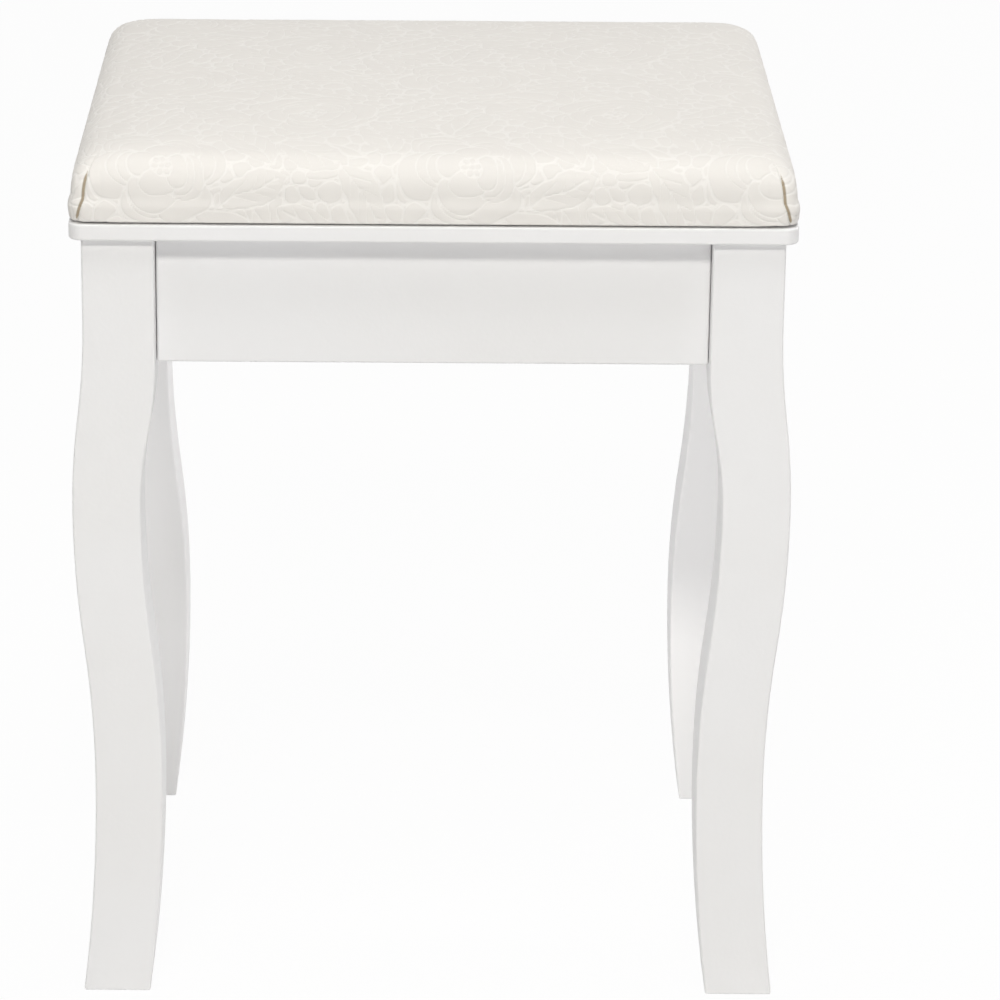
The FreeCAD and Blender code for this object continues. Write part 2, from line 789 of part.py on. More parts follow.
doc.recompute()
NODES = [name + "_leg" for name, side, end in CORNERS]
NODES += ["front_apron", "back_apron", "left_apron", "right_apron"]
NODES += [name + "_corner_block" for name, side, end in CORNERS]
NODES += ["seat_board", "pad_base", "seat_foam", "seat_cover", "cover_staples"]
NODES += [label for label, maker in GROUPS]

for item in doc.Objects:
    if "Invalid" in item.State or "Error" in item.State:
        raise RuntimeError(f"{item.Label} did not compute: {item.State}")
for node in NODES:
    shape = doc.getObjectsByLabel(node)[0].Shape
    if shape.isNull() or not shape.isValid():
        raise RuntimeError(f"{node} has no valid shape")
    shape.exportStep(f"parts/{node}.step")
    print(f"{node}: {len(shape.Solids)} solid(s), {shape.Volume / 1000:.1f} cm3")
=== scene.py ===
# %% [markdown]
# # A vanity stool with a padded, embossed seat
#
# This lesson dresses a small white stool. Its joinery was drawn in CAD and arrives as a fixed
# frame: four curved legs, four aprons, a thin seat board, corner blocks and the fixings between
# them. Here those parts get their lacquer, raw wood and zinc, and the cushion, which CAD could
# only rough out, is made as fabric over foam.

import math

import bpy
import numpy as np
from mathutils import Euler, Matrix, Vector


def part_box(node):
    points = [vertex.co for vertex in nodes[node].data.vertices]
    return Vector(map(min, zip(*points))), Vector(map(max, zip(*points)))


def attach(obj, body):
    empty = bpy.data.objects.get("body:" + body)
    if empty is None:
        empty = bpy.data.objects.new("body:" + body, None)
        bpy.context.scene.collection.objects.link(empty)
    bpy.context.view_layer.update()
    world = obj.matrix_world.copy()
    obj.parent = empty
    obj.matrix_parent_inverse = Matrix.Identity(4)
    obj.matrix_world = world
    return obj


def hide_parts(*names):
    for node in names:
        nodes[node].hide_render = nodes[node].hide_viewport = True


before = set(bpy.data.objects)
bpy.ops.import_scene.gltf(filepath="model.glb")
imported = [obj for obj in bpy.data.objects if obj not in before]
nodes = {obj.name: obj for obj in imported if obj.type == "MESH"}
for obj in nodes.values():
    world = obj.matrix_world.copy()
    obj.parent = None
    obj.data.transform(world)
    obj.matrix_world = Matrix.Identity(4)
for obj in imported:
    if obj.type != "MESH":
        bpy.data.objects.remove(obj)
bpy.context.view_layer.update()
print("joinery parts:", len(nodes))

# %% [markdown]
# ## Where the camera stands
#
# The photograph was taken from the front, a little above the seat, with a long lens. The distance,
# the height and the tilt were worked out from the legs' outlines. The middle of the lens doesn't
# fall on the middle of the picture, so a small shift puts it back, and a slight roll copies the
# way the stool leans in the picture.

# %% Camera
CAMERA_PLACE = (-0.008, -2.265, 1.0366)
CAMERA_DOWN = 0.334
CAMERA_ROLL = math.radians(0.38)
PICTURE = 1000
LENS_PIXELS = 4482
LENS_MIDDLE = (416, 448.6)

camera_data = bpy.data.cameras.new("camera")
camera_data.sensor_width = 36
camera_data.lens = LENS_PIXELS / PICTURE * camera_data.sensor_width
camera_data.shift_x = 0.5 - LENS_MIDDLE[0] / PICTURE
camera_data.shift_y = LENS_MIDDLE[1] / PICTURE - 0.5
camera = bpy.data.objects.new("camera", camera_data)
look = Euler((math.pi / 2 - CAMERA_DOWN, 0, 0)).to_matrix() @ Matrix.Rotation(CAMERA_ROLL, 3, "Z")
camera.matrix_world = Matrix.Translation(CAMERA_PLACE) @ look.to_4x4()
bpy.context.scene.collection.objects.link(camera)
bpy.context.scene.camera = camera
bpy.context.scene.view_settings.view_transform = "Standard"
print("lens:", round(camera_data.lens, 1), "mm")

# %% [markdown]
# ## Writing a finish as sums
#
# A finish is a small network of nodes. Placing and joining each one by hand hides what it means,
# so this lesson wraps a node's output in a small class. Adding or multiplying two of them places
# the Math node, and the line of code reads like the sum that it is.

# %% Readings
class Reading:
    """A value that varies over a surface, for use in ordinary sums."""

    def __init__(self, network, socket):
        self.network = network
        self.socket = socket

    def __add__(self, other):
        return self.network.sum("ADD", self, other)

    def __radd__(self, other):
        return self.network.sum("ADD", other, self)

    def __sub__(self, other):
        return self.network.sum("SUBTRACT", self, other)

    def __rsub__(self, other):
        return self.network.sum("SUBTRACT", other, self)

    def __mul__(self, other):
        return self.network.sum("MULTIPLY", self, other)

    def __rmul__(self, other):
        return self.network.sum("MULTIPLY", other, self)


# %% [markdown]
# ## Networks and finishes
#
# A finish is one kind of network and the sky, further down, is another, so both grow from the same
# few methods. One method places any node: its settings are set first, and then each of its sockets
# gets a value or a link. A new finish starts with the two nodes that Blender gives a material.

# %% Networks and finishes
class Network:
    """Nodes that feed one another."""

    def __init__(self, tree):
        self.tree = tree

    def feed(self, socket, value):
        if isinstance(value, Reading):
            self.tree.links.new(value.socket, socket)
        else:
            socket.default_value = value

    def node(self, kind, settings=None, inputs=None, output=0):
        made = self.tree.nodes.new(kind)
        for name, value in (settings or {}).items():
            setattr(made, name, value)
        for name, value in (inputs or {}).items():
            self.feed(made.inputs[name], value)
        return Reading(self, made.outputs[output])

    def sum(self, operation, *values):
        return self.node("ShaderNodeMath", {"operation": operation}, dict(enumerate(values)))

    def seen_by(self, *rays):
        """1 for the kinds of ray that are named and 0 for every other kind."""
        hit = 0.0
        for ray in rays:
            hit = self.sum("MAXIMUM", hit, self.node("ShaderNodeLightPath", output=f"Is {ray} Ray"))
        return hit


class Finish(Network):
    """One material, built up node by node."""

    def __init__(self, name):
        self.material = bpy.data.materials.new(name)
        self.material.use_nodes = True
        super().__init__(self.material.node_tree)
        self.shader = self.tree.nodes["Principled BSDF"]

    def stretched(self, scale):
        """Places on the piece, stretched along its axes."""
        place = self.node("ShaderNodeTexCoord", output="Object")
        return self.node("ShaderNodeVectorMath", {"operation": "MULTIPLY"}, {0: place, 1: scale})

    def noise(self, scale, detail=2.0, stretch=(1, 1, 1)):
        return self.node("ShaderNodeTexNoise", None,
                         {"Vector": self.stretched(stretch), "Scale": scale, "Detail": detail})

    def blend(self, factor, first, second):
        """A mix of two colours."""
        return self.node("ShaderNodeMix", {"data_type": "RGBA"},
                         {0: factor, 6: first, 7: second}, output=2)

    def step(self, value, start, end):
        """0 below the start, 1 above the end and smooth between them."""
        return self.node("ShaderNodeMapRange", {"interpolation_type": "SMOOTHSTEP"},
                         {"Value": value, "From Min": start, "From Max": end})

    def bump(self, height, distance, strength=1.0):
        return self.node("ShaderNodeBump", None,
                         {"Height": height, "Distance": distance, "Strength": strength})

    def dress(self, **sockets):
        """Feeds the shader: Base_Color stands for Base Color, and so on."""
        for name, value in sockets.items():
            self.feed(self.shader.inputs[name.replace("_", " ")], value)
        return self.material


def give(material, *names):
    """Puts a material on joinery parts, by name."""
    for name in names:
        for slot in nodes[name].material_slots:
            slot.material = material


lacquer = Finish("white_lacquer")
print("nodes in a new finish:", len(lacquer.tree.nodes))

# %% [markdown]
# ## White lacquer
#
# The legs, aprons and seat board are sprayed with satin white lacquer over smooth board. Up close
# such a coat is never quite flat: it dries with a fine orange-peel ripple, and its gloss drifts a
# little. The ripple is a bump of a tenth of a millimetre and the drift is a slow noise.

# %% White lacquer
LACQUER_WHITE = (0.868, 0.864, 0.874, 1)
LACQUER_WARM = (0.854, 0.848, 0.852, 1)

drift = lacquer.noise(9.0, 3.0)
peel = lacquer.noise(420.0, 1.0)
white_lacquer = lacquer.dress(
    Base_Color=lacquer.blend(lacquer.step(drift, 0.35, 0.7), LACQUER_WHITE, LACQUER_WARM),
    Roughness=0.36 + 0.1 * drift,
    Normal=lacquer.bump(peel, 0.00012, 0.5),
)
LACQUERED = [name for name in nodes if name.endswith(("_leg", "_apron")) or name == "seat_board"]
give(white_lacquer, *LACQUERED)
print("lacquered:", len(LACQUERED))

# %% [markdown]
# ## Raw wood, plywood and zinc
#
# Inside the frame nothing is painted. The corner blocks and dowels are bare softwood, with streaks
# that run along the piece, so the noise is squeezed across the grain and stretched along it. The
# pad's base is thin plywood, whose edge shows its plies as level bands. The fixings are zinc
# plated, a pale metal with a slightly blotchy shine.

# %% Raw wood, plywood and zinc
def wood(name, pale, dark, along):
    """A wood finish. Along is how much each axis is squeezed: small along the grain."""
    finish = Finish(name)
    streak = finish.noise(70.0, 5.0, along)
    pore = finish.noise(520.0, 2.0, along)
    grain = finish.step(streak, 0.3, 0.72)
    return finish.dress(
        Base_Color=finish.blend(grain * 0.8 + pore * 0.2, pale, dark),
        Roughness=0.62 + 0.2 * pore,
        Normal=finish.bump(streak + pore * 0.5, 0.0003, 0.6),
    )


block_wood = wood("bare_wood", (0.80, 0.66, 0.46, 1), (0.60, 0.44, 0.27, 1), (1, 1, 0.12))
give(block_wood, *[name for name in nodes if name.endswith("_corner_block")], "apron_dowels")

plywood = Finish("plywood")
veneer = plywood.noise(60.0, 5.0, (0.1, 1, 1))
plies = plywood.node("ShaderNodeTexWave", {"bands_direction": "Z"},
                     {"Vector": plywood.stretched((1, 1, 1)), "Scale": 160.0, "Distortion": 0.4})
give(plywood.dress(
    Base_Color=plywood.blend(veneer * 0.7 + plies * 0.3, (0.76, 0.62, 0.43, 1), (0.58, 0.43, 0.27, 1)),
    Roughness=0.6 + 0.2 * veneer,
    Normal=plywood.bump(veneer, 0.0002, 0.5),
), "pad_base")

zinc = Finish("zinc_steel")
bloom = zinc.noise(260.0, 3.0)
zinc_steel = zinc.dress(
    Base_Color=zinc.blend(bloom, (0.68, 0.69, 0.70, 1), (0.60, 0.61, 0.64, 1)),
    Roughness=0.26 + 0.22 * bloom,
    Normal=zinc.bump(bloom, 0.00005, 0.4),
    Metallic=1.0,
)
FIXINGS = ["cover_staples", "corner_block_screws", "seat_screws", "pad_screws",
           "leg_bolts", "leg_bolt_washers", "leg_bolt_nuts"]
give(zinc_steel, *FIXINGS)
print("plated:", len(FIXINGS))

# %% [markdown]
# ## The blank of the cushion
#
# The seat is a block of foam on plywood with fabric drawn over it: upright sides that tuck in a
# little where they meet the board, a soft roll round the top and a slight crown. A hand would
# start it from a box. The box is the cushion's lowest band, its upright edges are bevelled for the
# corners, and its top face is drawn up and in again and again along the cushion's profile. It
# starts a little small, because the next step swells it.

# %% Cushion blank
MM = 0.001
cover_low, cover_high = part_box("seat_cover")
PAD_BOTTOM = cover_low[2]
HALF_WIDTH = cover_high[0]
HALF_DEPTH = cover_high[1]
SIDE_HEIGHT = 18.5 * MM
ROLL = 16 * MM
CORNER = 15 * MM
SWELL = 0.6 * MM

profile = [(2.5 * MM, 0.0), (0.4 * MM, 6.5 * MM), (0.0, 13 * MM), (0.0, SIDE_HEIGHT)]
for degrees in (20, 40, 60, 75, 90):
    turn = math.radians(degrees)
    profile.append((ROLL * (1 - math.cos(turn)), SIDE_HEIGHT + ROLL * math.sin(turn)))
profile += [(30 * MM, 35.3 * MM), (60 * MM, 36.4 * MM), (100 * MM, 37.4 * MM), (135 * MM, 37.8 * MM)]


def nothing_selected():
    if bpy.context.mode != "OBJECT":
        bpy.ops.object.mode_set(mode="OBJECT")
    bpy.ops.object.select_all(action="DESELECT")


def work_on(piece):
    """Makes one piece the only one that the operators act on."""
    nothing_selected()
    piece.select_set(True)
    bpy.context.view_layer.objects.active = piece


def ring_size(inset):
    return 2 * (HALF_WIDTH - SWELL - inset), 2 * (HALF_DEPTH - SWELL - inset)


nothing_selected()
first_rise = profile[1][1]
bpy.ops.mesh.primitive_cube_add(size=1, location=(0, 0, PAD_BOTTOM + first_rise / 2),
                                scale=(*ring_size(profile[0][0]), first_rise))
blank = bpy.context.object
blank.name = "cushion_blank"
bpy.ops.object.transform_apply(location=True, rotation=True, scale=True)
bpy.ops.object.mode_set(mode="EDIT")
bpy.ops.mesh.select_mode(type="EDGE")
bpy.ops.mesh.select_all(action="DESELECT")
bpy.ops.object.mode_set(mode="OBJECT")
for edge in blank.data.edges:
    ends = [blank.data.vertices[index].co for index in edge.vertices]
    edge.select = abs(ends[0].z - ends[1].z) > first_rise / 2
bpy.ops.object.mode_set(mode="EDIT")
bpy.ops.mesh.bevel(offset=CORNER, segments=8)
bpy.ops.mesh.select_mode(type="FACE")
bpy.ops.mesh.select_all(action="DESELECT")
bpy.ops.object.mode_set(mode="OBJECT")
for face in blank.data.polygons:
    face.select = face.normal.z > 0.9
bpy.ops.object.mode_set(mode="EDIT")

wide, deep = ring_size(profile[0][0])
height = first_rise
for step_number, (inset, level) in enumerate(profile[1:]):
    next_wide, next_deep = ring_size(inset)
    if step_number:
        bpy.ops.mesh.extrude_region_move(TRANSFORM_OT_translate={"value": (0, 0, level - height)})
    bpy.ops.transform.resize(value=(next_wide / wide, next_deep / deep, 1),
                             center_override=(0, 0, PAD_BOTTOM + level))
    wide, deep, height = next_wide, next_deep, level
bpy.ops.object.mode_set(mode="OBJECT")
print("blank faces:", len(blank.data.polygons))

# %% [markdown]
# ## Swelling the cushion
#
# Foam pushes the fabric out until it is tight, which leaves no face of a cushion quite flat and no
# edge quite straight. The blank is remeshed into small even squares and swollen by cloth
# simulation with a little pressure inside. The underside is pinned to its board. Only movement
# outwards is kept, and less than two millimetres of it, so the cushion stays the size it was drawn.

# %% Swell the cushion
VOXEL = 4 * MM
SWELL_CAP = 1.6 * MM
PRESSURE = 4.0
SWELL_FRAMES = 20
PINNED_BELOW = 5 * MM


def places(piece):
    """A piece's points as an array, one row each."""
    flat = np.empty(len(piece.data.vertices) * 3)
    piece.data.vertices.foreach_get("co", flat)
    return flat.reshape(-1, 3)


def point_normals(piece):
    flat = np.empty(len(piece.data.vertices) * 3)
    piece.data.vertex_normals.foreach_get("vector", flat)
    return flat.reshape(-1, 3)


def move_to(piece, points):
    piece.data.vertices.foreach_set("co", np.ascontiguousarray(points, dtype=np.float64).ravel())
    piece.data.update()


def finish_modifier(piece, kind, **settings):
    """Adds a modifier with its settings and applies it."""
    modifier = piece.modifiers.new(kind.lower(), kind)
    for name, value in settings.items():
        setattr(modifier, name, value)
    work_on(piece)
    bpy.ops.object.modifier_apply(modifier=modifier.name)


finish_modifier(blank, "REMESH", mode="VOXEL", voxel_size=VOXEL, use_smooth_shade=True)
finish_modifier(blank, "SMOOTH", factor=0.5, iterations=6)
drawn = places(blank)

pinned = blank.vertex_groups.new(name="pinned")
low_points = np.flatnonzero(drawn[:, 2] < PAD_BOTTOM + PINNED_BELOW)
pinned.add([int(index) for index in low_points], 1.0, "REPLACE")
cloth = blank.modifiers.new("swell", "CLOTH")
cloth.settings.use_pressure = True
cloth.settings.uniform_pressure_force = PRESSURE
cloth.settings.effector_weights.gravity = 0
cloth.settings.vertex_group_mass = "pinned"
cloth.settings.quality = 5
cloth.point_cache.frame_start = 1
cloth.point_cache.frame_end = SWELL_FRAMES
for moment in range(1, SWELL_FRAMES + 1):
    bpy.context.scene.frame_set(moment)
seen = blank.evaluated_get(bpy.context.evaluated_depsgraph_get())
swollen = np.empty(len(seen.data.vertices) * 3)
seen.data.vertices.foreach_get("co", swollen)
outward = point_normals(blank)
rise = np.sum((swollen.reshape(-1, 3) - drawn) * outward, axis=1)
blank.modifiers.remove(cloth)
bpy.context.scene.frame_set(1)
swell = SWELL_CAP * (1 - np.exp(-np.maximum(rise, 0) / (3 * SWELL_CAP)))
move_to(blank, drawn + outward * swell[:, None])
finish_modifier(blank, "SMOOTH", factor=0.5, iterations=3)
print("swelled by up to", round(float(rise.max()) / MM, 2), "mm")
print("kept", round(float(swell.max()) / MM, 2), "mm")
pad_top = places(blank)[:, 2].max()
print("cushion points:", len(blank.data.vertices), "top at", round(float(pad_top), 4))

# %% [markdown]
# ## The foam
#
# Under the fabric lies the foam, the same form a cloth's thickness further in, cut level where it
# sits on the plywood. Nobody sees it with the cover on, but the stool can be taken apart, so it is
# a piece of its own. It is a copy of the swollen form, shrunk and cut off.

# %% Foam
FOAM_INSET = 1.7 * MM
FOAM_GAP = 0.3 * MM
base_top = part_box("pad_base")[1][2]


def copy_of(piece, name):
    twin = bpy.data.objects.new(name, piece.data.copy())
    twin.data.name = name
    bpy.context.scene.collection.objects.link(twin)
    return twin


foam = copy_of(blank, "seat_foam_pad")
work_on(foam)
bpy.ops.object.mode_set(mode="EDIT")
bpy.ops.mesh.select_all(action="SELECT")
bpy.ops.transform.shrink_fatten(value=-FOAM_INSET)
bpy.ops.mesh.bisect(plane_co=(0, 0, base_top + FOAM_GAP), plane_no=(0, 0, 1), clear_inner=True, use_fill=True)
bpy.ops.object.mode_set(mode="OBJECT")

foam_finish = Finish("foam")
pores = foam_finish.node("ShaderNodeTexVoronoi", None,
                         {"Vector": foam_finish.stretched((1, 1, 1)), "Scale": 900.0})
yellowing = foam_finish.noise(14.0, 2.0)
foam.data.materials.clear()
foam.data.materials.append(foam_finish.dress(
    Base_Color=foam_finish.blend(yellowing, (0.91, 0.88, 0.75, 1), (0.87, 0.82, 0.64, 1)),
    Roughness=0.85 + 0.1 * pores,
    Normal=foam_finish.bump(pores, 0.0005, 0.8),
))
work_on(foam)
bpy.ops.object.shade_smooth_by_angle(angle=math.radians(35))
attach(foam, "root")
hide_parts("seat_foam")
print("foam faces:", len(foam.data.polygons))

# %% [markdown]
# ## The cover's cloth
#
# The cover is one sheet of cloth: over the top, down the sides and about 24 mm in under the edge,
# where it is stapled. The swollen form becomes that sheet when the middle of its underside is
# taken away. Faces are picked by place and by which way they look, as a hand would click on them.

# %% Cover cloth
CLOTH = 1.1 * MM
TURNED_IN = 28 * MM

cover = copy_of(blank, "seat_cover_cloth")
bpy.data.objects.remove(blank)


def pick_faces(piece, wanted, afresh=True):
    """Selects faces, given one true or false value each, and opens edit mode."""
    work_on(piece)
    if afresh:
        bpy.ops.object.mode_set(mode="EDIT")
        bpy.ops.mesh.select_all(action="DESELECT")
        bpy.ops.object.mode_set(mode="OBJECT")
    piece.data.polygons.foreach_set("select", np.asarray(wanted, dtype=bool))
    bpy.ops.object.mode_set(mode="EDIT")
    bpy.ops.mesh.select_mode(type="FACE")


def face_facts(piece):
    """Middles and normals of a piece's faces."""
    count = len(piece.data.polygons)
    middles, normals = np.empty(count * 3), np.empty(count * 3)
    piece.data.polygons.foreach_get("center", middles)
    piece.data.polygons.foreach_get("normal", normals)
    return middles.reshape(-1, 3), normals.reshape(-1, 3)


def picked(elements):
    """Which faces or points are selected."""
    flags = np.empty(len(elements), dtype=bool)
    elements.foreach_get("select", flags)
    return flags


middles, normals = face_facts(cover)
pick_faces(cover, (np.abs(middles[:, 0]) < HALF_WIDTH - TURNED_IN)
           & (np.abs(middles[:, 1]) < HALF_DEPTH - TURNED_IN) & (normals[:, 2] < -0.5))
bpy.ops.mesh.delete(type="FACE")
bpy.ops.object.mode_set(mode="OBJECT")
finish_modifier(cover, "SUBSURF", levels=1, render_levels=1)
print("cloth faces:", len(cover.data.polygons))

# %% [markdown]
# ## Pulling the cloth tight
#
# Upholstery cloth is pulled hard over the lower edge, so at the front it comes right down to the
# board's edge and at the sides it tucks under. Near the board the corners are squarer than they
# are at the top, where the foam is soft. Each point moves outwards from the cushion's flat middle
# to where the pulled cloth would lie.

# %% Lower edge and corners
CORE = (HALF_WIDTH - ROLL, HALF_DEPTH - ROLL)
SIDE_TUCK = 2.4 * MM
FRONT_TUCK = -0.4 * MM
WIDEST = 13 * MM
STEEPEST = 0.985
UPRIGHT_FROM = 0.05
UPRIGHT_OVER = 0.2
FADE = 4 * MM
SQUARE_HEIGHTS = (0, 12, 26, 34)
SQUARE_POWERS = (4.2, 4.2, 2.4, 2.0)


def past_core(points):
    """How far points lie beyond the cushion's flat middle, along its width and its depth."""
    return (np.maximum(np.abs(points[:, 0]) - CORE[0], 0), np.maximum(np.abs(points[:, 1]) - CORE[1], 0))


sheet = places(cover)
past_x, past_y = past_core(sheet)
past = np.hypot(past_x, past_y)

# A round corner is a power of 2, and a higher power is squarer.
power = np.interp((sheet[:, 2] - PAD_BOTTOM) / MM, SQUARE_HEIGHTS, SQUARE_POWERS)
around = np.arctan2(past_x, past_y)
corner_reach = (np.cos(around) ** power + np.sin(around) ** power) ** (-1 / power)

low_rise = np.clip(sheet[:, 2] - PAD_BOTTOM, 0, WIDEST)
drop = np.minimum(1 - low_rise / WIDEST, STEEPEST)
sideways = past_x / np.maximum(past, 1e-6)
tuck = FRONT_TUCK + (SIDE_TUCK - FRONT_TUCK) * sideways ** 2
drawn_in = tuck * (1 - np.sqrt(1 - drop ** 2))
level_part = np.hypot(*point_normals(cover)[:, :2].T)
upright = (np.clip((level_part - UPRIGHT_FROM) / UPRIGHT_OVER, 0, 1)
           * np.clip((WIDEST - low_rise) / FADE, 0, 1))
reach = corner_reach * (past + upright * (ROLL - drawn_in - past))
stretch = np.where(past > 0, reach / np.maximum(past, 1 * MM) - 1, 0)
move_to(cover, sheet + np.column_stack([np.sign(sheet[:, 0]) * past_x * stretch,
                                        np.sign(sheet[:, 1]) * past_y * stretch,
                                        np.zeros(len(sheet))]))
print("cloth drawn out by up to", round(float((stretch * past).max()) / MM, 2), "mm")

# %% [markdown]
# ## Thickness, and a finer skin
#
# The sheet gets the cloth's thickness on its inner side. Only the outer skin is divided further,
# down to about a millimetre, because that is where the pattern will be pressed, and the corners
# once more, for their folds.

# %% Thickness and skin
CORNER_MARGIN = 3 * MM
FINE_BELOW = 33 * MM
LOOKS_DOWN = -0.6

sheet_faces = len(cover.data.polygons)
finish_modifier(cover, "SOLIDIFY", thickness=CLOTH, offset=-1, use_even_offset=True)
outer = np.arange(len(cover.data.polygons)) < sheet_faces
middles, normals = face_facts(cover)
pick_faces(cover, outer & (normals[:, 2] > LOOKS_DOWN))
bpy.ops.mesh.subdivide(number_cuts=1)
bpy.ops.mesh.vertices_smooth(factor=0.5, repeat=2)
bpy.ops.object.mode_set(mode="OBJECT")

middles, normals = face_facts(cover)
near_corner = ((np.abs(middles[:, 0]) > CORE[0] - CORNER_MARGIN)
               & (np.abs(middles[:, 1]) > CORE[1] - CORNER_MARGIN)
               & (middles[:, 2] < PAD_BOTTOM + FINE_BELOW))
pick_faces(cover, picked(cover.data.polygons) & near_corner)
bpy.ops.mesh.subdivide(number_cuts=1)
bpy.ops.object.mode_set(mode="OBJECT")

# The outer skin looks away from a core inside the cushion. The corners' finer points, still picked
# from the step before, belong to it too.
middles, normals = face_facts(cover)
past_x, past_y = past_core(middles)
away = np.column_stack([np.sign(middles[:, 0]) * past_x, np.sign(middles[:, 1]) * past_y,
                        middles[:, 2] - PAD_BOTTOM - SIDE_HEIGHT / 2])
pick_faces(cover, (np.sum(away * normals, axis=1) > 0) & (normals[:, 2] > LOOKS_DOWN), afresh=False)
bpy.ops.object.mode_set(mode="OBJECT")
skin = picked(cover.data.vertices)
print("cover faces:", len(cover.data.polygons), "skin points:", int(skin.sum()))

# %% [markdown]
# ## Drawing the roses
#
# The fabric is embossed with roses and leaves: soft raised cells parted by thin pressed lines. A
# print shop would draw one tile and repeat it. Here the tile is a drawing in numbers. Shapes are
# laid one over another, as cut paper would be, and each point keeps its distance to the nearest
# edge that still shows. That distance makes a crisp line at any scale, and it also says how far up
# the soft shoulder of a petal a point lies. A slow wobble keeps the shapes from looking ruled.

# %% Paper for the drawing
TILE = np.array([152.0, 132.0])
TILE_CELLS = (304, 264)
rng = np.random.default_rng(11)

grid_x, grid_y = np.meshgrid((np.arange(TILE_CELLS[0]) + 0.5) * TILE[0] / TILE_CELLS[0],
                             (np.arange(TILE_CELLS[1]) + 0.5) * TILE[1] / TILE_CELLS[1])


def wobble(x, y, waves):
    """A slow drift that repeats with the tile."""
    drift = 0
    for across, up, phase, size in waves:
        drift = drift + size * np.sin(2 * math.pi * (across * x / TILE[0] + up * y / TILE[1]) + phase)
    return drift


waves_x = [(1, 2, 0.3, 1.3), (3, -1, 1.9, 1.0), (4, 5, 4.0, 0.6), (7, 3, 2.2, 0.35)]
waves_y = [(2, 1, 2.6, 1.3), (-1, 3, 0.8, 1.0), (5, 4, 5.1, 0.6), (3, 8, 1.2, 0.35)]
paper_x = grid_x + wobble(grid_x, grid_y, waves_x)
paper_y = grid_y + wobble(grid_x, grid_y, waves_y)
print("tile:", TILE, "mm in", TILE_CELLS, "cells")

# %% [markdown]
# ## Leaves and roses
#
# A leaf is where two round edges overlap, with a scalloped rim, a midrib and slanting veins pressed
# into it. A rose is rings of oval petals, the outer ring laid first, with a heart of small buds.
# Each shape is drawn in its own place and turn, and wraps round the tile's edges.

# %% Leaves and roses
class Drawing:
    """Shapes laid over each other on a repeating tile."""

    def __init__(self):
        self.edge = np.full(grid_x.shape, 40.0)
        self.outside = np.full(grid_x.shape, 40.0)

    def local(self, middle, turn):
        """Places seen from a shape's own middle and turn."""
        x = (paper_x - middle[0] + TILE[0] / 2) % TILE[0] - TILE[0] / 2
        y = (paper_y - middle[1] + TILE[1] / 2) % TILE[1] - TILE[1] / 2
        return (x * math.cos(turn) + y * math.sin(turn), y * math.cos(turn) - x * math.sin(turn))

    def lay(self, distance):
        """Lays a shape, given each point's distance outside its edge."""
        self.edge = np.where(distance < 0, -distance, np.minimum(self.edge, distance))
        self.outside = np.minimum(self.outside, distance)

    def score(self, distance, where):
        """Presses a line into what is already laid."""
        self.edge = np.where(where, np.minimum(self.edge, distance), self.edge)

    def oval(self, middle, half_length, half_breadth, turn):
        x, y = self.local(middle, turn)
        reach = np.hypot(x / half_length, y / half_breadth)
        slope = np.hypot(x / half_length ** 2, y / half_breadth ** 2)
        distance = np.where(reach < 0.3, (reach - 1) * min(half_length, half_breadth),
                            reach * (reach - 1) / np.maximum(slope, 1e-6))
        self.lay(distance)

    def leaf(self, middle, length, breadth, turn):
        x, y = self.local(middle, turn)
        radius = (length ** 2 + breadth ** 2) / (4 * breadth)
        offset = radius - breadth / 2
        distance = np.hypot(x, np.abs(y) + offset) - radius + 0.7 * np.abs(np.sin(x * math.pi / 7.5))
        self.lay(distance)
        inside = distance < -0.4
        self.score(np.abs(y + 0.02 * x ** 2 / breadth), inside & (x < length * 0.4))
        slant = (x - 1.25 * np.abs(y) + 40) % 8.0 - 4.0
        self.score(np.abs(slant) * 0.62 + 0.1, inside & (distance < -1.6) & (np.abs(x) < length * 0.36))

    def rose(self, middle, size, turn):
        """Petals in rings, the outer ones first, then a heart of small buds."""
        rings = ((6, 0.66, 0.42, 0.36), (5, 0.45, 0.36, 0.30), (4, 0.27, 0.27, 0.21))
        for ring, (count, reach, along, across) in enumerate(rings):
            for petal in range(count):
                angle = turn + ring * 0.6 + 2 * math.pi * (petal + rng.uniform(-0.12, 0.12)) / count
                swell = size * rng.uniform(0.92, 1.1)
                outward = np.array([math.cos(angle), math.sin(angle)])
                lean = angle + math.pi / 2 + rng.uniform(-0.35, 0.35)
                place = np.array(middle) + outward * size * reach
                self.oval(place, swell * along, swell * across, lean)
                if petal % 2 == 0 and ring < 2:
                    self.oval(place - outward * size * 0.09, swell * along * 0.86,
                              swell * across * 0.82, lean)
        self.oval(middle, size * 0.2, size * 0.18, turn)
        for bud in range(7):
            angle = turn + 2 * math.pi * bud / 6
            reach = size * 0.125 * (bud < 6)
            self.oval((middle[0] + reach * math.cos(angle), middle[1] + reach * math.sin(angle)),
                      size * 0.068, size * 0.058, angle)


tile = Drawing()
print("blank tile:", tile.edge.shape)

# %% [markdown]
# ## Filling the tile
#
# Between the flowers the fabric is a bed of small rounded cells, like pebbles, with a few left out
# as bare ground. Each cell is the part of the cloth nearest to its seed, and the line between two
# cells runs halfway.

# %% Pebble bed
PEBBLE = 9.5
BARE_SHARE = 0.12
CORNER_ROUND = 1.3

